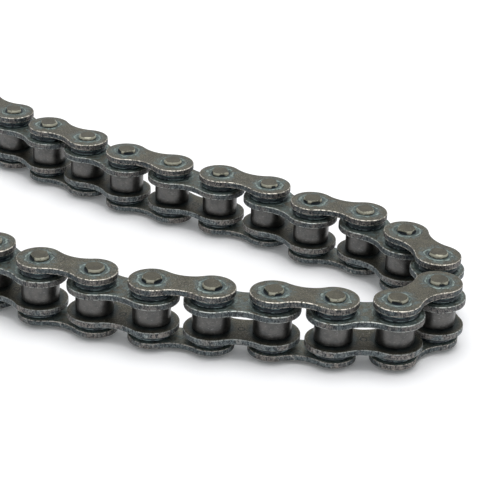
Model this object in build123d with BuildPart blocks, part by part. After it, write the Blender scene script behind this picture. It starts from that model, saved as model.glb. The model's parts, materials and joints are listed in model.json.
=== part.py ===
from build123d import *
import math
import os

# A length of sealed roller chain, laid on its side in a hairpin: two open strands joined by
# a tight bend. Inner links (two plates pressed on two bushes) take turns with outer links
# (two plates riveted on two pins). A roller turns on each bush, and a rubber ring seals the
# gap between each inner plate and the outer plate beside it.
# Frame: millimetres, +Z up along the pins, the pin heads stand on z = 0, the bend is at +X,
# and the origin is under the middle of the chain's footprint.

# Chain size: 5/8 inch pitch, 1/4 inch between the inner plates
PITCH = 15.875
INNER_WIDTH = 6.35
ROLLER_DIAMETER = 10.16
PIN_DIAMETER = 5.2
BUSH_DIAMETER = 7.2

# Plates: height over the round ends, height at the waist
PLATE_THICKNESS = 1.8
OUTER_PLATE_HEIGHT = 12.5
OUTER_WAIST = 8.4
INNER_PLATE_HEIGHT = 14.7
INNER_WAIST = 10.8
PLATE_EDGE_ROUND = 0.2

# Room between an inner plate and the outer plate beside it, and the ring that fills it
SEAL_GAP = 1.9
SEAL_DIAMETER = 11.0
SEAL_HEIGHT = 1.84
SEAL_BORE_CLEARANCE = 0.1
SEAL_LOBE_RADIUS = 0.42
SEAL_LOBE_SPACING = 1.0
SEAL_CORE_RADIUS = 0.62

# Running fits, as clearance on the radius
PIN_CLEARANCE = 0.05
ROLLER_CLEARANCE = 0.05
ROLLER_END_CLEARANCE = 0.15
ROLLER_EDGE_ROUND = 0.4
BUSH_STICK_OUT = 0.45

# Riveted pin heads, each staked by four flat bites round its rim
HEAD_HEIGHT = 1.0
HEAD_CHAMFER = 0.15
STAKE_COUNT = 4
STAKE_TOP_RADIUS = 2.1
STAKE_DEPTH = 0.85

# The lay of the chain on the table: each link's heading in degrees, from one open end,
# round the bend, to the other. Inner and outer links take turns, and both ends are inner.
NEAR_STRAND = (-27, -19, -10, 0, 4, 11, 15, 12)
BEND = (21, 64, 106, 139, 153)
FAR_STRAND = (179, 162, 175, 176, 174, 164, 165, 161, 160, 158)
HEADINGS = NEAR_STRAND + BEND + FAR_STRAND

# Heights along the pins, from the heads of the lower ends up
LOWER_OUTER_Z = HEAD_HEIGHT
LOWER_INNER_Z = LOWER_OUTER_Z + PLATE_THICKNESS + SEAL_GAP
ROLLER_SPACE_Z = LOWER_INNER_Z + PLATE_THICKNESS
UPPER_INNER_Z = ROLLER_SPACE_Z + INNER_WIDTH
UPPER_OUTER_Z = UPPER_INNER_Z + PLATE_THICKNESS + SEAL_GAP
PIN_LENGTH = UPPER_OUTER_Z + PLATE_THICKNESS + HEAD_HEIGHT
MIDDLE_Z = PIN_LENGTH / 2


def link_plate(height, waist, hole_diameter, bottom):
    """A figure-eight plate along X, centred on the link's middle, with a hole at each end."""
    end_radius = height / 2
    half_pitch = PITCH / 2
    half_waist = waist / 2
    waist_radius = (half_pitch**2 + half_waist**2 - end_radius**2) / (2 * (end_radius - half_waist))
    waist_centre = half_waist + waist_radius
    # the waist's arc meets the end's circle on the line between their centres
    share = end_radius / (end_radius + waist_radius)
    touch_x = half_pitch * (1 - share)
    touch_y = waist_centre * share
    with BuildPart() as plate:
        with BuildSketch(Plane.XY.offset(bottom)):
            with BuildLine():
                upper_waist = ThreePointArc((touch_x, touch_y), (0, half_waist), (-touch_x, touch_y))
                ThreePointArc(upper_waist @ 1, (-half_pitch - end_radius, 0), (-touch_x, -touch_y))
                lower_waist = ThreePointArc((-touch_x, -touch_y), (0, -half_waist), (touch_x, -touch_y))
                ThreePointArc(lower_waist @ 1, (half_pitch + end_radius, 0), (touch_x, touch_y))
            make_face()
        extrude(amount=PLATE_THICKNESS)
        rims = plate.edges().filter_by(Plane.XY)
        fillet(rims, radius=PLATE_EDGE_ROUND)
        with BuildSketch(Plane.XY.offset(bottom)):
            with GridLocations(PITCH, 0, 2, 1):
                Circle(hole_diameter / 2)
        extrude(amount=PLATE_THICKNESS, mode=Mode.SUBTRACT)
    return plate.part


def staked_pin():
    """A pin on the Z axis, with a low head at each end that four flat bites have spread."""
    pin_radius = PIN_DIAMETER / 2
    with BuildPart() as bite:
        with BuildSketch(Plane.XZ):
            with BuildLine():
                Polyline(
                    (STAKE_TOP_RADIUS, PIN_LENGTH),
                    (pin_radius, PIN_LENGTH - STAKE_DEPTH),
                    (PIN_DIAMETER, PIN_LENGTH - STAKE_DEPTH),
                    (PIN_DIAMETER, PIN_LENGTH),
                    close=True,
                )
            make_face()
        extrude(amount=pin_radius, both=True)
    lower_bite = bite.part.mirror(Plane.XY.offset(MIDDLE_Z))
    with BuildPart() as pin:
        Cylinder(pin_radius, PIN_LENGTH, align=(Align.CENTER, Align.CENTER, Align.MIN))
        chamfer(pin.edges().filter_by(GeomType.CIRCLE), length=HEAD_CHAMFER)
        with PolarLocations(0, STAKE_COUNT, start_angle=180 / STAKE_COUNT):
            add(bite.part, mode=Mode.SUBTRACT)
            add(lower_bite, mode=Mode.SUBTRACT)
    return pin.part


def bush():
    """The sleeve that joins two inner plates. It reaches a little into the seals."""
    reach = UPPER_INNER_Z + PLATE_THICKNESS + BUSH_STICK_OUT - MIDDLE_Z
    with BuildPart() as sleeve:
        with BuildSketch(Plane.XY.offset(MIDDLE_Z)):
            Circle(BUSH_DIAMETER / 2)
            Circle(PIN_DIAMETER / 2 + PIN_CLEARANCE, mode=Mode.SUBTRACT)
        extrude(amount=reach, both=True)
    return sleeve.part


def roller():
    """A solid roller with rounded rims, free between the inner plates."""
    half_length = INNER_WIDTH / 2 - ROLLER_END_CLEARANCE
    with BuildPart() as drum:
        with BuildSketch(Plane.XY.offset(MIDDLE_Z)):
            Circle(ROLLER_DIAMETER / 2)
        extrude(amount=half_length, both=True)
        fillet(drum.edges().filter_by(GeomType.CIRCLE), radius=ROLLER_EDGE_ROUND)
        with BuildSketch(Plane.XY.offset(MIDDLE_Z)):
            Circle(BUSH_DIAMETER / 2 + ROLLER_CLEARANCE)
        extrude(amount=half_length, both=True, mode=Mode.SUBTRACT)
    return drum.part


def seal_ring(bottom):
    """A four-lobed rubber ring round the end of a bush, its lobes pressed flat at both faces."""
    outer_radius = SEAL_DIAMETER / 2
    inner_radius = BUSH_DIAMETER / 2 + SEAL_BORE_CLEARANCE
    middle_radius = (outer_radius + inner_radius) / 2
    ring_width = outer_radius - inner_radius
    with BuildPart() as ring:
        with BuildSketch(Plane.XZ) as section:
            with Locations((middle_radius, bottom + SEAL_HEIGHT / 2)):
                with GridLocations(SEAL_LOBE_SPACING, SEAL_LOBE_SPACING, 2, 2):
                    Circle(SEAL_LOBE_RADIUS)
                Circle(SEAL_CORE_RADIUS)
                Rectangle(ring_width, SEAL_HEIGHT, mode=Mode.INTERSECT)
        revolve(section.sketch, axis=Axis.Z)
    return ring.part


def save_node(name, pieces):
    """Writes one node: its pieces stay separate solids."""
    node = Compound(label=name, children=pieces)
    export_step(node, f"parts/{name}.step")


def pin_centres():
    """The pins' places in plan, one more than the links, before centring."""
    centres = [Vector(0, 0)]
    for heading in HEADINGS:
        step = Vector(PITCH, 0).rotate(Axis.Z, heading)
        centres.append(centres[-1] + step)
    return centres


def middle_of_footprint(centres):
    """The middle of the box round the end links' plates and the bend."""
    across = [centre.X for centre in centres]
    along = [centre.Y for centre in centres]
    return Vector((min(across) + max(across)) / 2, (min(along) + max(along)) / 2)


os.makedirs("parts", exist_ok=True)

outer_plates = [
    link_plate(OUTER_PLATE_HEIGHT, OUTER_WAIST, PIN_DIAMETER, bottom)
    for bottom in (LOWER_OUTER_Z, UPPER_OUTER_Z)
]
inner_plates = [
    link_plate(INNER_PLATE_HEIGHT, INNER_WAIST, BUSH_DIAMETER, bottom)
    for bottom in (LOWER_INNER_Z, UPPER_INNER_Z)
]
pin = staked_pin()
sleeve = bush()
drum = roller()
lower_seal = seal_ring(LOWER_INNER_Z - SEAL_HEIGHT)
upper_seal = seal_ring(UPPER_INNER_Z + PLATE_THICKNESS)

centres = pin_centres()
middle = middle_of_footprint(centres)
places = [centre - middle for centre in centres]
last_link = len(HEADINGS) - 1
link_ends = {"a": -PITCH / 2, "b": PITCH / 2}

for order, heading in enumerate(HEADINGS):
    link_middle = (places[order] + places[order + 1]) / 2
    lay = Location((link_middle.X, link_middle.Y, 0), (0, 0, heading))
    number = order // 2 + 1
    ends = [lay * Location((along, 0, 0)) for along in link_ends.values()]
    if order % 2:
        pieces = [plate.moved(lay) for plate in outer_plates]
        pieces += [pin.moved(end) for end in ends]
        save_node(f"outer_link_{number:02d}", pieces)
        continue
    pieces = [plate.moved(lay) for plate in inner_plates]
    pieces += [sleeve.moved(end) for end in ends]
    save_node(f"inner_link_{number:02d}", pieces)
    for letter, end in zip(link_ends, ends):
        save_node(f"roller_{number:02d}{letter}", [drum.moved(end)])
    # the open bush at each end of the chain gets its rings with the link that is joined there
    sealed_ends = ends
    if order == 0:
        sealed_ends = ends[1:]
    if order == last_link:
        sealed_ends = ends[:1]
    rings = [ring.moved(end) for end in sealed_ends for ring in (lower_seal, upper_seal)]
    save_node(f"seals_{number:02d}", rings)
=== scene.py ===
import itertools
import json
import math
import random

import bmesh
import bpy
from mathutils import Euler, Matrix, Vector


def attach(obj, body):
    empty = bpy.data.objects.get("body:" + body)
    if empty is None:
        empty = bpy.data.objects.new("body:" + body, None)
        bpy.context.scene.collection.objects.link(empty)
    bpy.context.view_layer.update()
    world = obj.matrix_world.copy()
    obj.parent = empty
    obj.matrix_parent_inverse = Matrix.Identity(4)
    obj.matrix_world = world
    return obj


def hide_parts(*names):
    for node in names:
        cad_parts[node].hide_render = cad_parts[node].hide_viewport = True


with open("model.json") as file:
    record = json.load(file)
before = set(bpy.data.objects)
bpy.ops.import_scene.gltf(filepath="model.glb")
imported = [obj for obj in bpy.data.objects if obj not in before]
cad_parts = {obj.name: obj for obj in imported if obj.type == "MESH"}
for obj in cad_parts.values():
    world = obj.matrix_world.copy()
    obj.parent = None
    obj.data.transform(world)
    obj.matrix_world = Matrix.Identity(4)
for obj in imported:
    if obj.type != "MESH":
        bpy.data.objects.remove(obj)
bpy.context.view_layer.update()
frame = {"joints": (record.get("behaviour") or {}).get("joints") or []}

# ---------------------------------------------------------------------------
# Sizes, in millimetres. MM turns them into the scene's metres.
# ---------------------------------------------------------------------------
MM = 0.001
PITCH = 15.875
INNER_WIDTH = 6.35
PLATE_THICKNESS = 1.8
SEAL_GAP = 1.9
HEAD_HEIGHT = 1.0

OUTER_END_RADIUS = 6.25
OUTER_HALF_WAIST = 4.2
INNER_END_RADIUS = 7.35
INNER_HALF_WAIST = 5.4
PIN_RADIUS = 2.6
BUSH_RADIUS = 3.6
BUSH_BORE_RADIUS = 2.65
BUSH_STICK_OUT = 0.45
ROLLER_RADIUS = 5.08
ROLLER_BORE_RADIUS = 3.65
ROLLER_END_CLEARANCE = 0.15
SEAL_OUTER_RADIUS = 5.5
SEAL_INNER_RADIUS = 3.7
SEAL_HEIGHT = 1.84

# heights along the pins, from the floor up
LOWER_OUTER_Z = HEAD_HEIGHT
LOWER_INNER_Z = LOWER_OUTER_Z + PLATE_THICKNESS + SEAL_GAP
UPPER_INNER_Z = LOWER_INNER_Z + PLATE_THICKNESS + INNER_WIDTH
UPPER_OUTER_Z = UPPER_INNER_Z + PLATE_THICKNESS + SEAL_GAP
TOP_Z = UPPER_OUTER_Z + PLATE_THICKNESS + HEAD_HEIGHT
MIDDLE_Z = TOP_Z / 2


# ---------------------------------------------------------------------------
# Small helpers
# ---------------------------------------------------------------------------
def circle(radius, count, centre=(0.0, 0.0)):
    """Points of a circle in the plan, counter-clockwise."""
    turns = (math.tau * i / count for i in range(count))
    return [(centre[0] + radius * math.cos(t), centre[1] + radius * math.sin(t)) for t in turns]


def add_ring(bm, points, z):
    """Vertices for one closed ring of plan points at a height."""
    return [bm.verts.new((x, y, z)) for x, y in points]


def bridge(bm, lower, upper):
    """A smooth band of quads between two rings of the same count."""
    count = len(lower)
    for i in range(count):
        j = (i + 1) % count
        bm.faces.new((lower[i], lower[j], upper[j], upper[i])).smooth = True


def bridge_outwards(bm, inside, outside, up):
    """A band between a ring and a wider one, facing up when up is 1 and down when it is -1."""
    if up > 0:
        bridge(bm, outside, inside)
    else:
        bridge(bm, inside, outside)


def smoothstep(low, high, value):
    """0 below low, 1 above high, with a soft step between."""
    share = min(max((value - low) / (high - low), 0.0), 1.0)
    return share * share * (3 - 2 * share)


def bell(middle, width, value):
    """1 at the middle, falling off softly on both sides."""
    return math.exp(-(((value - middle) / width) ** 2))


# what is added to a piece's seed for its grain, and how far its grain may be moved
GRAIN_SEED = 7
GRAIN_REACH = 500


def finish_piece(bm, name, place, material, seed, masks=None):
    """Turns a bmesh in millimetres into a piece that stands at its place, with its masks.

    The attribute place_mm keeps the piece's own coordinates for the material, and grain
    keeps the same ones moved to a patch of texture that no other piece shows.
    """
    mesh = bpy.data.meshes.new(name)
    bm.normal_update()
    bm.to_mesh(mesh)
    bm.free()
    rng = random.Random(seed + GRAIN_SEED)
    shift = Vector(rng.uniform(-GRAIN_REACH, GRAIN_REACH) for _ in range(3))
    for key, offset in (("place_mm", Vector((0, 0, 0))), ("grain", shift)):
        layer = mesh.attributes.new(key, "FLOAT_VECTOR", "POINT")
        layer.data.foreach_set("vector", [c for vertex in mesh.vertices for c in vertex.co + offset])
    for key, values in (masks or {}).items():
        layer = mesh.attributes.new(key, "FLOAT", "POINT")
        layer.data.foreach_set("value", values)
    mesh.transform(place @ Matrix.Scale(MM, 4))
    mesh.materials.append(material)
    piece = bpy.data.objects.new(name, mesh)
    bpy.context.collection.objects.link(piece)
    return piece


# ---------------------------------------------------------------------------
# Where the pins stand: the rollers' hinge axes, from the frame
# ---------------------------------------------------------------------------
pin_spots = {}
for joint in frame["joints"]:
    if joint["name"].startswith("roller_"):
        pin_spots[joint["child"].removeprefix("roller_")] = Vector(joint["pos_m"][:2])
inner_count = len(pin_spots) // 2


def link_place(start, end):
    """The placement of a link whose pins stand at two plan points."""
    along = end - start
    middle = (start + end) / 2
    turn = Matrix.Rotation(math.atan2(along.y, along.x), 4, "Z")
    return Matrix.Translation((middle.x, middle.y, 0)) @ turn


# ---------------------------------------------------------------------------
# Materials. Their coordinates are in millimetres, so the noises' scales are per millimetre.
# ---------------------------------------------------------------------------
class Nodes:
    """A short way to write the node tree of a material or of the world."""

    def __init__(self, owner):
        owner.use_nodes = True
        self.owner = owner
        self.tree = owner.node_tree

    def add(self, kind, **settings):
        node = self.tree.nodes.new(kind)
        for key, value in settings.items():
            setattr(node, key, value)
        return node

    def link(self, source, target):
        self.tree.links.new(source, target)

    def attribute(self, name, output="Fac"):
        return self.add("ShaderNodeAttribute", attribute_name=name).outputs[output]

    def split(self, vector):
        node = self.add("ShaderNodeSeparateXYZ")
        self.link(vector, node.inputs["Vector"])
        return node.outputs["X"], node.outputs["Y"], node.outputs["Z"]

    def maths(self, operation, first, second):
        node = self.add("ShaderNodeMath", operation=operation)
        for socket, value in zip(node.inputs, (first, second)):
            if isinstance(value, (int, float)):
                socket.default_value = value
            else:
                self.link(value, socket)
        return node.outputs["Value"]

    def plus(self, first, second):
        return self.maths("ADD", first, second)

    def minus(self, first, second):
        return self.maths("SUBTRACT", first, second)

    def times(self, first, second):
        return self.maths("MULTIPLY", first, second)

    def away(self, value, middle):
        """How far a value is from a middle, on either side."""
        return self.maths("ABSOLUTE", self.minus(value, middle), 0.0)

    def reach(self, x, y):
        """The length of a plan vector."""
        return self.maths("POWER", self.plus(self.times(x, x), self.times(y, y)), 0.5)

    def ramp(self, value, low, high, start=0.0, end=1.0):
        """A soft step from start to end, while a value goes from low to high."""
        node = self.add("ShaderNodeMapRange", interpolation_type="SMOOTHSTEP")
        self.link(value, node.inputs["Value"])
        node.inputs["From Min"].default_value = low
        node.inputs["From Max"].default_value = high
        node.inputs["To Min"].default_value = start
        node.inputs["To Max"].default_value = end
        return node.outputs["Result"]

    def line(self, value, middle, half_width):
        """1 where a value is at its middle, falling to 0 over the half width."""
        return self.ramp(self.away(value, middle), 0.0, half_width, 1.0, 0.0)

    def mapped(self, vector, scale):
        node = self.add("ShaderNodeMapping")
        self.link(vector, node.inputs["Vector"])
        node.inputs["Scale"].default_value = scale
        return node.outputs["Vector"]

    def noise(self, vector, scale, detail=4.0, roughness=0.55, distortion=0.0):
        node = self.add("ShaderNodeTexNoise")
        self.link(vector, node.inputs["Vector"])
        node.inputs["Scale"].default_value = scale
        node.inputs["Detail"].default_value = detail
        node.inputs["Roughness"].default_value = roughness
        node.inputs["Distortion"].default_value = distortion
        return node.outputs["Fac"]

    def mix(self, factor, first, second):
        """A blend of two colours: all first at factor 0, all second at factor 1."""
        node = self.add("ShaderNodeMix", data_type="RGBA")
        self.link(factor, node.inputs["Factor"])
        for name, value in (("A", first), ("B", second)):
            socket = next(s for s in node.inputs if s.name == name and s.type == "RGBA")
            if isinstance(value, tuple):
                socket.default_value = (*value, 1.0)
            else:
                self.link(value, socket)
        return next(s for s in node.outputs if s.type == "RGBA")

    def bump(self, height, strength, distance, normal=None):
        node = self.add("ShaderNodeBump")
        self.link(height, node.inputs["Height"])
        node.inputs["Strength"].default_value = strength
        node.inputs["Distance"].default_value = distance
        if normal:
            self.link(normal, node.inputs["Normal"])
        return node.outputs["Normal"]


def new_material(name):
    """A new material's nodes, and the sockets of its shader."""
    n = Nodes(bpy.data.materials.new(name))
    return n, n.tree.nodes["Principled BSDF"].inputs


# Colours
WARM_STEEL = (0.112, 0.105, 0.077)
WARM_STEEL_DARK = (0.068, 0.063, 0.045)
# lighter copies of the steel for the outer plates' inner faces: painted light
PAINTED_LIGHT_STEEL = (0.225, 0.220, 0.180)
PAINTED_LIGHT_STEEL_DARK = (0.160, 0.158, 0.130)
PALE_SPECK = (0.40, 0.385, 0.325)
OILY_STEEL = (0.100, 0.130, 0.117)
# a lighter copy of the oily film for the same faces: painted light
OILY_PAINTED_LIGHT = (0.200, 0.250, 0.235)
OILY_STEEL_PALE = (0.27, 0.34, 0.315)
OILY_STEEL_DEEP = (0.060, 0.088, 0.098)
# bright rims: wear, with a painted highlight
WEAR_AND_HIGHLIGHT_STEEL = (0.74, 0.70, 0.62)
WEAR_AND_HIGHLIGHT_OILY = (0.52, 0.55, 0.52)
WEAR_AND_HIGHLIGHT_PIN = (0.56, 0.55, 0.44)
TORN_STEEL_WARM = (0.265, 0.240, 0.220)
TORN_STEEL_BLUE = (0.152, 0.182, 0.190)
# dark specks and stamp marks; also painted shade in the pins' bites and painted shadow lines round the
# pins
SOOT_AND_SHADE = (0.014, 0.020, 0.026)
GREASE = (0.030, 0.046, 0.050)
PIT = (0.030, 0.035, 0.040)
GROUND_STEEL = (0.128, 0.124, 0.118)
GROUND_STEEL_DARK = (0.090, 0.090, 0.088)
SCUFF = (0.32, 0.32, 0.31)
RUBBER = (0.009, 0.015, 0.022)
RUBBER_GREASY = (0.030, 0.048, 0.058)
# a pale painted glint on the seals' crests, where grease lies
RUBBER_CREST_GLINT = (0.28, 0.39, 0.39)

# Where the plates' colours change: radii from a pin
FILM_RADII = (3.5, 7.5)
RING_WANDER = 2.7
PALE_LINE_WIDTH = 0.44
SHADOW_LINE_WIDTH = 0.32
DEEP_RADII = (2.8, 3.2)
RUBBED_RADII = (5.4, 7.2)
# heights from the floor: the film is thicker low down, and the edges get painted shade high up
LOW_HEIGHTS = (3.0, 6.5)
SHADED_EDGE_HEIGHTS = (8.0, 12.0)
# heights from the chain's middle: where the faces that look at the rollers end, and where the
# outer plates' inner faces are, which get painted light
BETWEEN_HEIGHTS = (INNER_WIDTH / 2 + 0.08, INNER_WIDTH / 2 + 0.18)
PAINTED_LIGHT_HEIGHT = MIDDLE_Z - HEAD_HEIGHT - PLATE_THICKNESS
PAINTED_LIGHT_WIDTH = 0.12
# the round mark in the middle of the faces that look at the rollers
MARK_RADIUS = 0.85
MARK_LINE_WIDTH = 0.28
# each seal's two outer lobes: height from the chain's middle, and how strong the painted glint on the
# crest is
SEAL_FOOT = INNER_WIDTH / 2 + PLATE_THICKNESS
SEAL_CRESTS = ((SEAL_FOOT + 0.385, 1.0), (SEAL_FOOT + 1.405, 0.6))
CREST_WIDTH = 0.17


def torn_edge(n, grain, blueness, film, wear_and_highlight, z):
    """Sheared steel: dark pits between torn, bright points. Returns its colour and relief."""
    stretched = n.mapped(grain, (1.0, 1.0, 0.55))
    torn = n.noise(stretched, 1.9, 4.0, 0.72)
    torn_fine = n.noise(stretched, 6.0, 3.0, 0.7)
    relief = n.plus(n.times(torn, 0.65), n.times(torn_fine, 0.35))
    tint = n.ramp(n.plus(blueness, 0.12 * film), 0.44, 0.62)
    torn_steel = n.mix(tint, TORN_STEEL_WARM, TORN_STEEL_BLUE)
    edge = n.mix(n.ramp(relief, 0.43, 0.54), PIT, torn_steel)
    edge = n.mix(n.ramp(relief, 0.565, 0.65, 0.0, 0.85), edge, wear_and_highlight)
    # painted shade: the sheared edges are darker high up
    return n.mix(n.ramp(z, *SHADED_EDGE_HEIGHTS, 0.0, 0.36), edge, PIT), relief


def plate_steel(name, film, ring, wear_and_highlight, speckle):
    """Dark heat-treated plate: warm speckled faces, an oily film round the pins, torn edges.

    film is how much more or less of it lies on the faces than the smears alone give. ring
    is where it has gathered round each pin: the radius of a pale line, the radius of the
    dark line beside it, a painted shadow, and their strength. wear_and_highlight is the colour
    of a bright rim, worn and with a painted highlight. speckle is how strong the faces' specks
    are, and how much the bright rims are nicked.
    """
    pale_radius, shadow_radius, ring_strength = ring
    n, shader = new_material(name)
    grain = n.attribute("grain", "Vector")
    x, y, z = n.split(n.attribute("place_mm", "Vector"))
    rim = n.attribute("rim")
    side = n.attribute("side")
    sunk = n.attribute("sunk")
    from_middle = n.away(x, 0.0)
    pin_reach = n.reach(n.minus(from_middle, PITCH / 2), y)
    height = n.away(z, MIDDLE_Z)
    between = n.ramp(height, *BETWEEN_HEIGHTS, 1.0, 0.0)

    # bare faces; the outer plates' inner faces get a lighter copy of the colour, as painted light
    painted_light = n.line(height, PAINTED_LIGHT_HEIGHT, PAINTED_LIGHT_WIDTH)
    steel = n.mix(painted_light, WARM_STEEL, PAINTED_LIGHT_STEEL)
    steel_dark = n.mix(painted_light, WARM_STEEL_DARK, PAINTED_LIGHT_STEEL_DARK)
    cloud = n.noise(grain, 0.35, 5.0)
    speck = n.noise(grain, 1.7, 5.0, 0.72)
    fine = n.noise(grain, 3.6, 4.0, 0.70)
    body = n.mix(n.ramp(cloud, 0.35, 0.68), steel_dark, steel)
    body = n.mix(n.ramp(speck, 0.49, 0.64, 0.0, 0.60 * speckle), body, SOOT_AND_SHADE)
    body = n.mix(n.ramp(fine, 0.51, 0.65, 0.0, 0.55 * speckle), body, PALE_SPECK)

    # the oily film: thick close to the pins and low down, thinning out in smears
    smear = n.noise(grain, 0.50, 5.0, 0.62, 0.8)
    near = n.ramp(pin_reach, *FILM_RADII, 0.30, 0.0)
    dry = n.times(between, -0.22)
    low = n.ramp(z, *LOW_HEIGHTS, 0.22, 0.0)
    thickness = n.plus(n.plus(n.plus(smear, near), n.plus(dry, low)), film)
    film_mask = n.ramp(thickness, 0.72, 1.02)
    # painted light on the outer plates' inner faces, in the film too
    oily = n.mix(painted_light, OILY_STEEL, OILY_PAINTED_LIGHT)
    wet = n.mix(n.ramp(speck, 0.40, 0.66), oily, OILY_STEEL_DEEP)
    dried = n.noise(grain, 1.3, 4.0, 0.7, 1.2)
    wet = n.mix(n.ramp(dried, 0.55, 0.68, 0.0, 0.75), wet, OILY_STEEL_PALE)
    body = n.mix(film_mask, body, wet)

    # grease gathered in a broken ring, with a dark line beside it that is painted shadow with some
    # grease in it, and darker close to the pin
    wander = n.times(n.minus(n.noise(grain, 0.42, 4.0, 0.55), 0.5), RING_WANDER)
    ring_reach = n.plus(pin_reach, wander)
    gathered = n.times(n.minus(1.0, between), ring_strength)
    streak = n.ramp(n.noise(grain, 0.7, 4.0, 0.65, 0.5), 0.42, 0.58, 0.05, 1.0)
    strength = n.times(streak, gathered)
    inside = n.times(n.ramp(ring_reach, pale_radius - 0.2, pale_radius + 0.1, 1.0, 0.0), gathered)
    body = n.mix(n.times(inside, 0.75), body, wet)
    deep = n.times(n.ramp(pin_reach, *DEEP_RADII, 1.0, 0.0), gathered)
    body = n.mix(n.times(deep, 0.5), body, OILY_STEEL_DEEP)
    # the dark line is a painted shadow beside the ring
    shadow_and_grease_line = n.times(n.line(ring_reach, shadow_radius, SHADOW_LINE_WIDTH), strength)
    body = n.mix(n.times(shadow_and_grease_line, 0.85), body, SOOT_AND_SHADE)
    pale_line = n.times(n.line(ring_reach, pale_radius, PALE_LINE_WIDTH), strength)
    body = n.mix(pale_line, body, OILY_STEEL_PALE)

    # the faces that look at the rollers: dark grease where they rub, and a small round mark
    rubbed = n.plus(pin_reach, n.times(wander, 0.7))
    body = n.mix(n.times(n.ramp(rubbed, *RUBBED_RADII, 0.8, 0.0), between), body, GREASE)
    mark = n.times(n.line(n.reach(x, y), MARK_RADIUS, MARK_LINE_WIDTH), between)
    body = n.mix(mark, body, SOOT_AND_SHADE)

    # sheared edges, warmer here and bluer there
    waist = n.ramp(from_middle, 3.0, 11.0, 0.07, -0.05)
    blueness = n.plus(n.noise(grain, 0.16, 3.0), n.plus(waist, n.times(low, 0.35)))
    edge, relief = torn_edge(n, grain, blueness, film, wear_and_highlight, z)
    body = n.mix(side, body, edge)

    # worn rims with a painted highlight, nicked here and there, and painted shade in whatever lies deep
    nick_level = 0.26 + 0.17 * speckle
    nicks = n.ramp(n.noise(grain, 1.5, 5.0, 0.72), nick_level, nick_level + 0.13)
    body = n.mix(n.times(rim, nicks), body, wear_and_highlight)
    body = n.mix(sunk, body, SOOT_AND_SHADE)

    n.link(body, shader["Base Color"])
    n.link(n.minus(0.80, n.times(film_mask, 0.45)), shader["Metallic"])
    n.link(n.plus(n.ramp(cloud, 0.3, 0.7, 0.40, 0.52), n.times(side, 0.05)), shader["Roughness"])
    normal = n.bump(n.plus(n.times(fine, 0.4), n.times(speck, 0.6)), 0.22, 0.0002)
    normal = n.bump(n.times(relief, side), 0.8, 0.0004, normal)
    normal = n.bump(mark, -0.5, 0.0002, normal)
    n.link(normal, shader["Normal"])
    return n.owner


def roller_steel():
    """Smooth ground steel, dark, with a faint grey bloom and a few scuffs."""
    n, shader = new_material("roller_steel")
    grain = n.attribute("grain", "Vector")
    cloud = n.noise(grain, 0.5, 4.0)
    speck = n.noise(grain, 5.0, 3.0, 0.6)
    scuffs = n.noise(n.mapped(grain, (1.0, 1.0, 2.2)), 1.4, 5.0, 0.72)
    body = n.mix(n.ramp(cloud, 0.35, 0.65), GROUND_STEEL_DARK, GROUND_STEEL)
    body = n.mix(n.ramp(scuffs, 0.55, 0.68, 0.0, 0.5), body, SCUFF)
    body = n.mix(n.ramp(speck, 0.60, 0.76, 0.0, 0.55), body, SOOT_AND_SHADE)
    n.link(body, shader["Base Color"])
    shader["Metallic"].default_value = 0.88
    n.link(n.ramp(cloud, 0.3, 0.7, 0.30, 0.38), shader["Roughness"])
    n.link(n.bump(speck, 0.06, 0.0001), shader["Normal"])
    return n.owner


def seal_rubber():
    """Black rubber, smeared with blue-green grease, with a painted glint on its lobes' crests where the
    grease patches are.
    """
    n, shader = new_material("seal_rubber")
    grain = n.attribute("grain", "Vector")
    _, _, z = n.split(n.attribute("place_mm", "Vector"))
    height = n.away(z, MIDDLE_Z)
    smear = n.noise(n.mapped(grain, (1.0, 1.0, 2.5)), 0.8, 4.0, 0.6, 0.5)
    patches = n.ramp(n.noise(n.mapped(grain, (1.0, 1.0, 0.3)), 0.55, 4.0), 0.44, 0.58)
    body = n.mix(n.ramp(smear, 0.42, 0.66), RUBBER, RUBBER_GREASY)
    for crest_height, share in SEAL_CRESTS:
        # a painted glint along each crest, in the grease patches
        crest_glint = n.times(n.line(height, crest_height, CREST_WIDTH), patches)
        body = n.mix(n.times(crest_glint, share), body, RUBBER_CREST_GLINT)
    n.link(body, shader["Base Color"])
    n.link(n.ramp(smear, 0.4, 0.7, 0.26, 0.44), shader["Roughness"])
    n.link(n.bump(smear, 0.12, 0.0002), shader["Normal"])
    return n.owner


outer_steel = plate_steel("outer_plate_steel", 0.10, (3.72, 4.12, 1.0), WEAR_AND_HIGHLIGHT_STEEL, 1.0)
inner_steel = plate_steel("inner_plate_steel", 0.36, (6.25, 5.75, 0.8), WEAR_AND_HIGHLIGHT_OILY, 1.0)
# a negative film leaves the pins dry, and they have no ring
pin_steel = plate_steel("pin_steel", -1.0, (0.0, 0.0, 0.0), WEAR_AND_HIGHLIGHT_PIN, 0.35)
ground_steel = roller_steel()
rubber = seal_rubber()


# ---------------------------------------------------------------------------
# Plates
# ---------------------------------------------------------------------------
# how far apart the points round a plate are
OUTLINE_STEP = 0.45
# the sheared edge, from the outer face to the back: inset from the outline, depth, how worn
# and lit (wear with a painted highlight on the rounded rims), how torn
EDGE_PROFILE = (
    (0.34, 0.000, 0.0, 0.0),
    (0.22, 0.015, 0.1, 0.0),
    (0.13, 0.050, 0.9, 0.0),
    (0.06, 0.110, 1.0, 0.1),
    (0.015, 0.190, 0.5, 0.6),
    (0.000, 0.290, 0.0, 1.0),
    (0.000, 0.700, 0.0, 1.0),
    (0.000, 1.100, 0.0, 1.0),
    (0.000, 1.420, 0.0, 1.0),
    (0.000, 1.530, 0.7, 1.0),
    (0.020, 1.640, 1.0, 0.8),
    (0.070, 1.720, 0.7, 0.4),
    (0.140, 1.770, 0.2, 0.0),
    (0.240, 1.800, 0.0, 0.0),
)
HOLE_COUNT = 64

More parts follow.
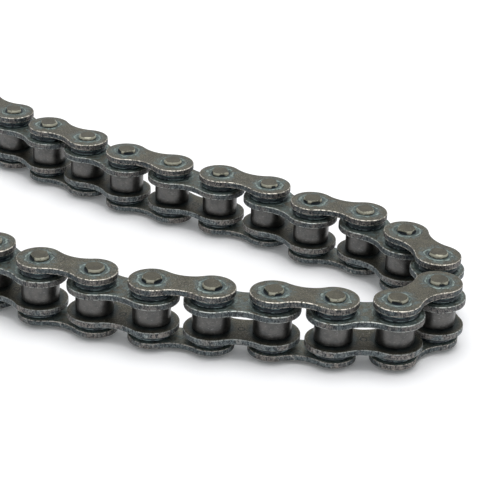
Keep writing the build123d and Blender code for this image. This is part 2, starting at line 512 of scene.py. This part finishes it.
# the collar that the rivet tool leaves round a pin: a groove at each bite, and a low ridge
COLLAR_WIDTH = 2.0
COLLAR_STEPS = 14
BITE_COUNT = 4
BITE_WANDER = 6
BITE_EDGES = (0.75, 0.96)
GROOVE_DEPTH = 0.30
GROOVE_RADIUS = 3.00
GROOVE_WIDTH = 0.32
RIDGE_HEIGHT = 0.11
RIDGE_RADIUS = 3.65
RIDGE_WIDTH = 0.22
RIDGE_BETWEEN_BITES = 0.45


def outline(end_radius, half_waist):
    """Points and outward normals round a figure-eight plate, counter-clockwise."""
    half = PITCH / 2
    waist_radius = (half**2 + half_waist**2 - end_radius**2) / (2 * (end_radius - half_waist))
    waist_centre = half_waist + waist_radius
    open_angle = math.atan2(waist_centre, half)
    reach = math.pi - open_angle
    end_count = round(2 * reach * end_radius / OUTLINE_STEP)
    waist_span = math.pi - 2 * open_angle
    waist_count = round(waist_span * waist_radius / OUTLINE_STEP)
    points = []
    for side in (1, -1):
        for i in range(end_count):
            turn = -reach + 2 * reach * i / end_count
            normal = Vector((side * math.cos(turn), side * math.sin(turn)))
            points.append((Vector((side * half, 0)) + normal * end_radius, normal))
        for i in range(waist_count):
            turn = math.pi - open_angle - waist_span * i / waist_count
            normal = Vector((side * math.cos(turn), side * math.sin(turn)))
            points.append((Vector((0, side * waist_centre)) - normal * waist_radius, normal))
    return points


def fill_face(bm, edge_ring, hole_radius, z, up):
    """A flat face inside the plate's edge, with two holes whose rings it returns."""
    loops = [edge_ring]
    for side in (-1, 1):
        loops.append(add_ring(bm, circle(hole_radius, HOLE_COUNT, (side * PITCH / 2, 0)), z))
    edges = []
    for loop in loops:
        for a, b in zip(loop, loop[1:] + loop[:1]):
            edges.append(bm.edges.get((a, b)) or bm.edges.new((a, b)))
    bmesh.ops.triangle_fill(bm, edges=edges, use_beauty=True, normal=(0, 0, up))
    return loops[1:]


def bite_turns(rng, wander):
    """The directions of the rivet tool's bites, each off by up to the wander, in degrees."""
    step = 360 / BITE_COUNT
    for k in range(BITE_COUNT):
        yield math.radians(step / 2 + step * k + rng.uniform(-wander, wander))


def collar(bm, loop, middle_x, z, up, rng):
    """The face round a pin: pressed in by the rivet tool, with a low ridge pushed up outside."""
    bites = list(bite_turns(rng, BITE_WANDER))
    previous = loop
    for step in range(1, COLLAR_STEPS + 1):
        radius = PIN_RADIUS + COLLAR_WIDTH * (1 - step / COLLAR_STEPS)
        ring = []
        for i, (x, y) in enumerate(circle(radius, HOLE_COUNT, (middle_x, 0))):
            turn = math.tau * i / HOLE_COUNT
            hit = smoothstep(*BITE_EDGES, max(math.cos(turn - bite) for bite in bites))
            groove = GROOVE_DEPTH * bell(GROOVE_RADIUS, GROOVE_WIDTH, radius) * hit
            ridge_share = RIDGE_BETWEEN_BITES + (1 - RIDGE_BETWEEN_BITES) * hit
            ridge = RIDGE_HEIGHT * bell(RIDGE_RADIUS, RIDGE_WIDTH, radius) * ridge_share
            ring.append(bm.verts.new((x, y, z - up * (groove - ridge))))
        bridge_outwards(bm, ring, previous, up)
        previous = ring


def plate(name, place, outer, bottom, up, seed):
    """One plate. up is 1 when its outer face looks up and -1 when it looks down."""
    end_radius = OUTER_END_RADIUS if outer else INNER_END_RADIUS
    half_waist = OUTER_HALF_WAIST if outer else INNER_HALF_WAIST
    rng = random.Random(seed)
    bm = bmesh.new()
    points = outline(end_radius, half_waist)
    face_z = bottom + PLATE_THICKNESS if up > 0 else bottom
    back_z = face_z - up * PLATE_THICKNESS
    rings = []
    rim = []
    side = []
    for inset, depth, wear_and_highlight, torn in EDGE_PROFILE:
        inward = [point - normal * inset for point, normal in points]
        rings.append(add_ring(bm, [(spot.x, spot.y) for spot in inward], face_z - up * depth))
        rim += [wear_and_highlight] * len(points)
        side += [torn] * len(points)
    for upper, lower in zip(rings, rings[1:]):
        bridge_outwards(bm, upper, lower, up)
    if outer:
        loops = fill_face(bm, rings[0], PIN_RADIUS + COLLAR_WIDTH, face_z, up)
        for loop, middle_x in zip(loops, (-PITCH / 2, PITCH / 2)):
            collar(bm, loop, middle_x, face_z, up, rng)
        fill_face(bm, rings[-1], PIN_RADIUS, back_z, -up)
    else:
        fill_face(bm, rings[0], BUSH_RADIUS, face_z, up)
        fill_face(bm, rings[-1], BUSH_RADIUS, back_z, -up)
    rest = [0.0] * (len(bm.verts) - len(rim))
    masks = {"rim": rim + rest, "side": side + rest}
    if outer:
        return finish_piece(bm, name, place, outer_steel, seed, masks)
    return finish_piece(bm, name, place, inner_steel, seed, masks)


# ---------------------------------------------------------------------------
# Pins
# ---------------------------------------------------------------------------
# a head's mesh: points round it, the radii of its flat middle, and the step from there on
HEAD_COUNT = 96
HEAD_FLAT_RADII = (0.5, 1.0, 1.5)
HEAD_STEP = 0.06
FOOT_DEPTH = 0.4

# a head's shape: slopes are the fall for each millimetre outwards, and a cut's reach is how far
# from the pin's axis it starts
LOWEST_HEAD = 0.90
HEAD_TOP_RADIUS = 2.60
HEAD_FULL_RADIUS = 2.74
HEAD_WAVE = 0.05
HEAD_FOOT = 0.02
BEVEL_WIDTH = 0.26
BEVEL_SLOPE = 1.7
WALL_SLOPE = 6.0
FACET_SLOPE = 0.9
CUT_WANDER = 14
CUT_REACH = (2.02, 2.42)
NICK_DEPTH = 0.45
NICK_WIDTH = 0.16

# how much wear and painted highlight, and how much painted shade, the parts of a head get, and how far
# past an edge they change
HEAD_WEAR_AND_HIGHLIGHT = 1.6
FACET_HIGHLIGHT = 0.35
WALL_SHADE = 0.3
RIM_FADE = 0.06
WALL_FADE = 0.08
BITE_FADE = 0.10
BITE_SHADE_START = 0.02


def staked_head(full_height, rng):
    """The shape of one head, as a function of a radius and a turn.

    It gives the height there, how worn and lit it is (wear with a painted highlight) and how
    much painted shade it gets. The top is a bevelled disc, nicked once and cut by four chords:
    most are the steep bites of the rivet tool, and some are open facets.
    """
    cuts = []
    for angle in bite_turns(rng, CUT_WANDER):
        start = rng.uniform(*CUT_REACH)
        cuts.append((angle, start, rng.choice((WALL_SLOPE, WALL_SLOPE, FACET_SLOPE))))
    lean = rng.uniform(0, math.tau)
    nick_turn = rng.uniform(0, math.tau)
    nick_depth = rng.uniform(0.0, NICK_DEPTH)

    def shape(radius, turn):
        nick = nick_depth * bell(0.0, NICK_WIDTH, math.remainder(turn - nick_turn, math.tau))
        past = radius - HEAD_TOP_RADIUS + HEAD_WAVE * math.cos(3 * turn + lean) + nick
        bevel = min(max(past + BEVEL_WIDTH, 0.0), BEVEL_WIDTH)
        drop = BEVEL_SLOPE * bevel + WALL_SLOPE * max(past, 0.0)
        wear_and_highlight = smoothstep(-BEVEL_WIDTH, -BEVEL_WIDTH / 2, past) * (1 - smoothstep(0.0, RIM_FADE, past))
        shaded = WALL_SHADE * smoothstep(0.0, WALL_FADE, past)
        for angle, start, slope in cuts:
            cut_past = radius * math.cos(turn - angle) - start
            if slope * cut_past > drop:
                drop = slope * cut_past
                steep = slope > 1
                # a steep bite gets painted shade, an open facet a painted highlight
                wear_and_highlight = 1 - smoothstep(0.0, BITE_FADE, cut_past) if steep else FACET_HIGHLIGHT
                shaded = smoothstep(BITE_SHADE_START, BITE_FADE, cut_past) if steep else 0.0
        return max(full_height - drop, HEAD_FOOT), wear_and_highlight, shaded

    return shape


def pin(name, place, seed):
    """A pin with a staked head at each end."""
    rng = random.Random(seed)
    bm = bmesh.new()
    rim = []
    sunk = []
    end_rings = []
    fine_span = HEAD_FULL_RADIUS - HEAD_FLAT_RADII[-1]
    fine_count = round(fine_span / HEAD_STEP)
    fine_radii = [HEAD_FLAT_RADII[-1] + fine_span * (i + 1) / fine_count for i in range(fine_count)]
    for up, base in ((-1, HEAD_HEIGHT), (1, TOP_Z - HEAD_HEIGHT)):
        full_height = HEAD_HEIGHT * rng.uniform(LOWEST_HEAD, 1.0)
        shape = staked_head(full_height, rng)
        centre = bm.verts.new((0, 0, base + up * full_height))
        rim.append(0.0)
        sunk.append(0.0)
        previous = None
        for radius in [*HEAD_FLAT_RADII, *fine_radii]:
            ring = []
            for i, (x, y) in enumerate(circle(radius, HEAD_COUNT)):
                height, wear_and_highlight, shaded = shape(radius, math.tau * i / HEAD_COUNT)
                ring.append(bm.verts.new((x, y, base + up * height)))
                rim.append(HEAD_WEAR_AND_HIGHLIGHT * wear_and_highlight)
                sunk.append(shaded)
            if previous:
                bridge_outwards(bm, previous, ring, up)
            else:
                for a, b in zip(ring, ring[1:] + ring[:1]):
                    corners = (centre, a, b) if up > 0 else (centre, b, a)
                    bm.faces.new(corners).smooth = True
            previous = ring
        foot = add_ring(bm, circle(PIN_RADIUS, HEAD_COUNT), base - up * FOOT_DEPTH)
        rim += [0.0] * HEAD_COUNT
        # the shank below the head is all painted shade
        sunk += [1.0] * HEAD_COUNT
        bridge_outwards(bm, previous, foot, up)
        end_rings.append(foot)
    bridge(bm, end_rings[0], end_rings[1])
    masks = {"rim": rim, "sunk": sunk}
    return finish_piece(bm, name, place, pin_steel, seed, masks)


# ---------------------------------------------------------------------------
# Turned pieces: rollers, bushes, ring seals
# ---------------------------------------------------------------------------
# how many faces go round each piece
ROLLER_COUNT = 96
BUSH_COUNT = 72
SEAL_COUNT = 80

ROLLER_EDGE_ROUND = 0.4
BUSH_EDGE_ROUND = 0.15
ROUNDING_STEPS = 5
BORE_CHAMFER = 0.15

# a seal's section: its points, and its reach from the middle as a share of half its box
LOBE_COUNT = 40
LOBE_STRETCH = 1.22
LOBE_MEAN = 0.86
LOBE_SWELL = 0.20


def turned(name, place, profile, count, material, seed):
    """A closed profile of (radius, height) pairs, turned about Z."""
    bm = bmesh.new()
    rings = [add_ring(bm, circle(radius, count), z) for radius, z in profile]
    for lower, upper in zip(rings, rings[1:] + rings[:1]):
        bridge(bm, lower, upper)
    bmesh.ops.recalc_face_normals(bm, faces=bm.faces)
    return finish_piece(bm, name, place, material, seed)


def rounded_tube(inner, outer, low, high, rounding):
    """The profile of a tube with rounded outer rims, from the bore's foot outwards."""
    centre = outer - rounding
    profile = [(inner + BORE_CHAMFER, low), (centre, low)]
    for i in range(1, ROUNDING_STEPS + 1):
        turn = math.pi / 2 * i / ROUNDING_STEPS
        radius = centre + rounding * math.sin(turn)
        profile.append((radius, low + rounding - rounding * math.cos(turn)))
    for i in range(ROUNDING_STEPS + 1):
        turn = math.pi / 2 * i / ROUNDING_STEPS
        radius = centre + rounding * math.cos(turn)
        profile.append((radius, high - rounding + rounding * math.sin(turn)))
    profile += [(inner + BORE_CHAMFER, high), (inner, high - BORE_CHAMFER), (inner, low + BORE_CHAMFER)]
    return profile


def roller(name, place, seed):
    half = INNER_WIDTH / 2 - ROLLER_END_CLEARANCE
    low = MIDDLE_Z - half
    high = MIDDLE_Z + half
    profile = rounded_tube(ROLLER_BORE_RADIUS, ROLLER_RADIUS, low, high, ROLLER_EDGE_ROUND)
    return turned(name, place, profile, ROLLER_COUNT, ground_steel, seed)


def bush(name, place, seed):
    low = LOWER_INNER_Z - BUSH_STICK_OUT
    high = UPPER_INNER_Z + PLATE_THICKNESS + BUSH_STICK_OUT
    profile = rounded_tube(BUSH_BORE_RADIUS, BUSH_RADIUS, low, high, BUSH_EDGE_ROUND)
    return turned(name, place, profile, BUSH_COUNT, ground_steel, seed)


def ring_seal(name, place, bottom, seed):
    """A ring whose section has four lobes, one towards each corner, flat where it is pressed."""
    middle_radius = (SEAL_OUTER_RADIUS + SEAL_INNER_RADIUS) / 2
    half_width = (SEAL_OUTER_RADIUS - SEAL_INNER_RADIUS) / 2
    half_height = SEAL_HEIGHT / 2
    middle_z = bottom + half_height
    profile = []
    for i in range(LOBE_COUNT):
        turn = math.tau * i / LOBE_COUNT
        swell = LOBE_MEAN - LOBE_SWELL * math.cos(4 * turn)
        x = half_width * LOBE_STRETCH * swell * math.cos(turn)
        y = half_height * LOBE_STRETCH * swell * math.sin(turn)
        x = min(max(x, -half_width), half_width)
        y = min(max(y, -half_height), half_height)
        profile.append((middle_radius + x, middle_z + y))
    return turned(name, place, profile, SEAL_COUNT, rubber, seed)


# ---------------------------------------------------------------------------
# The chain
# ---------------------------------------------------------------------------
# each side of the chain: its name, the bottoms of its outer plate, inner plate and seals, and
# which way its outer faces look
SIDES = (
    ("lower", LOWER_OUTER_Z, LOWER_INNER_Z, LOWER_INNER_Z - SEAL_HEIGHT, -1),
    ("upper", UPPER_OUTER_Z, UPPER_INNER_Z, UPPER_INNER_Z + PLATE_THICKNESS, 1),
)
# the open bush at each end gets its seals with the link that is joined there
OPEN_BUSHES = ("01a", f"{inner_count:02d}b")

seeds = itertools.count(1)
replaced = {}


def put(piece, body, node):
    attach(piece, body)
    replaced.setdefault(node, []).append(piece)


def inner_link(number, start, end):
    """Two plates on two bushes, with the bushes' rollers and seals."""
    place = link_place(start, end)
    body = f"inner_{number:02d}"
    node = f"inner_link_{number:02d}"
    for level, _, bottom, _, up in SIDES:
        name = f"inner_plate_{number:02d}_{level}"
        put(plate(name, place, False, bottom, up, next(seeds)), body, node)
    for letter, spot in (("a", start), ("b", end)):
        end_name = f"{number:02d}{letter}"
        upright = Matrix.Translation((spot.x, spot.y, 0))
        seed = next(seeds)
        put(bush(f"bush_{end_name}", upright, seed), body, node)
        roller_name = f"roller_{end_name}"
        put(roller(f"turning_{roller_name}", upright, seed), roller_name, roller_name)
        if end_name in OPEN_BUSHES:
            continue
        for level, _, _, bottom, _ in SIDES:
            name = f"ring_seal_{end_name}_{level}"
            put(ring_seal(name, upright, bottom, next(seeds)), body, f"seals_{number:02d}")


def outer_link(number, start, end):
    """Two plates riveted on two pins."""
    place = link_place(start, end)
    body = f"outer_{number:02d}"
    node = f"outer_link_{number:02d}"
    for level, bottom, _, _, up in SIDES:
        name = f"outer_plate_{number:02d}_{level}"
        put(plate(name, place, True, bottom, up, next(seeds)), body, node)
    for letter, along in (("a", -PITCH / 2), ("b", PITCH / 2)):
        stand = place @ Matrix.Translation((along * MM, 0, 0))
        put(pin(f"pin_{number:02d}{letter}", stand, next(seeds)), body, node)


for number in range(1, inner_count + 1):
    inner_link(number, pin_spots[f"{number:02d}a"], pin_spots[f"{number:02d}b"])
    if number < inner_count:
        outer_link(number, pin_spots[f"{number:02d}b"], pin_spots[f"{number + 1:02d}a"])

for node, pieces in replaced.items():
    for piece in pieces:
        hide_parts(node)


# ---------------------------------------------------------------------------
# Floor, light and camera, in metres
# ---------------------------------------------------------------------------
FLOOR_SIZE = 6
FLOOR_COLOUR = (0.965, 0.965, 0.975, 1)
FLOOR_GLOW = (0.97, 0.98, 1.0, 1)
FLOOR_GLOW_STRENGTH = 0.075

# the room: how bright it is at two heights, and a brighter wall behind the chain
ROOM_HEIGHTS = (0.15, 0.95)
ROOM_STRENGTHS = (0.35, 0.72)
ROOM_COLOUR = (0.98, 0.99, 1.0, 1)
BACK_WALL_DIRECTION = Vector((-0.34, 0.84, 0.42)).normalized()
BACK_WALL_EDGES = (0.60, 0.96)
BACK_WALL_STRENGTH = 0.42

LAMP_PLACE = Vector((0.2, 0.3, 4.0))
LAMP_SIZE = 3.1
LAMP_POWER = 94

CAMERA_TARGET = Vector((40.8, -21.9, 18.4)) * MM
CAMERA_DISTANCE = 448.3 * MM
CAMERA_AZIMUTH = math.radians(20.0)
CAMERA_ELEVATION = math.radians(26.63)
CAMERA_ROLL = math.radians(2.35)
CAMERA_LENS = 120.5
CAMERA_SENSOR = 36
CAMERA_NEAR = 0.01


def floor():
    """A pale floor that glows a little, so that it stays white far from the chain."""
    bpy.ops.mesh.primitive_plane_add(size=FLOOR_SIZE, location=(0, 0, 0))
    ground = bpy.context.object
    ground.name = "floor"
    n, shader = new_material("floor")
    shader["Base Color"].default_value = FLOOR_COLOUR
    shader["Roughness"].default_value = 0.6
    shader["Specular IOR Level"].default_value = 0.2
    shader["Emission Color"].default_value = FLOOR_GLOW
    shader["Emission Strength"].default_value = FLOOR_GLOW_STRENGTH
    ground.data.materials.append(n.owner)


def room():
    """A white room that is brightest overhead and behind the chain."""
    world = bpy.data.worlds.new("studio")
    bpy.context.scene.world = world
    n = Nodes(world)
    background = n.tree.nodes["Background"].inputs
    direction = n.add("ShaderNodeTexCoord").outputs["Generated"]
    _, _, climb = n.split(direction)
    facing = n.add("ShaderNodeVectorMath", operation="DOT_PRODUCT")
    n.link(direction, facing.inputs[0])
    facing.inputs[1].default_value = BACK_WALL_DIRECTION
    walls = n.ramp(climb, *ROOM_HEIGHTS, *ROOM_STRENGTHS)
    back_wall = n.ramp(facing.outputs["Value"], *BACK_WALL_EDGES, 0.0, BACK_WALL_STRENGTH)
    n.link(n.plus(walls, back_wall), background["Strength"])
    background["Color"].default_value = ROOM_COLOUR


def lamp():
    """One broad round lamp above the chain."""
    data = bpy.data.lights.new("overhead", "AREA")
    data.shape = "DISK"
    data.size = LAMP_SIZE
    data.energy = LAMP_POWER
    overhead = bpy.data.objects.new("overhead", data)
    bpy.context.collection.objects.link(overhead)
    overhead.location = LAMP_PLACE
    overhead.rotation_euler = (-LAMP_PLACE).to_track_quat("-Z", "Y").to_euler()


def camera():
    data = bpy.data.cameras.new("camera")
    data.lens = CAMERA_LENS
    data.sensor_width = CAMERA_SENSOR
    data.clip_start = CAMERA_NEAR
    eye = bpy.data.objects.new("camera", data)
    bpy.context.collection.objects.link(eye)
    tilt = Euler((math.pi / 2 - CAMERA_ELEVATION, 0, CAMERA_AZIMUTH)).to_matrix()
    turn = tilt @ Matrix.Rotation(CAMERA_ROLL, 3, "Z")
    back = turn @ Vector((0, 0, 1))
    eye.matrix_world = Matrix.Translation(CAMERA_TARGET + back * CAMERA_DISTANCE) @ turn.to_4x4()
    bpy.context.scene.camera = eye


floor()
room()
lamp()
camera()
bpy.context.scene.view_settings.view_transform = "Standard"
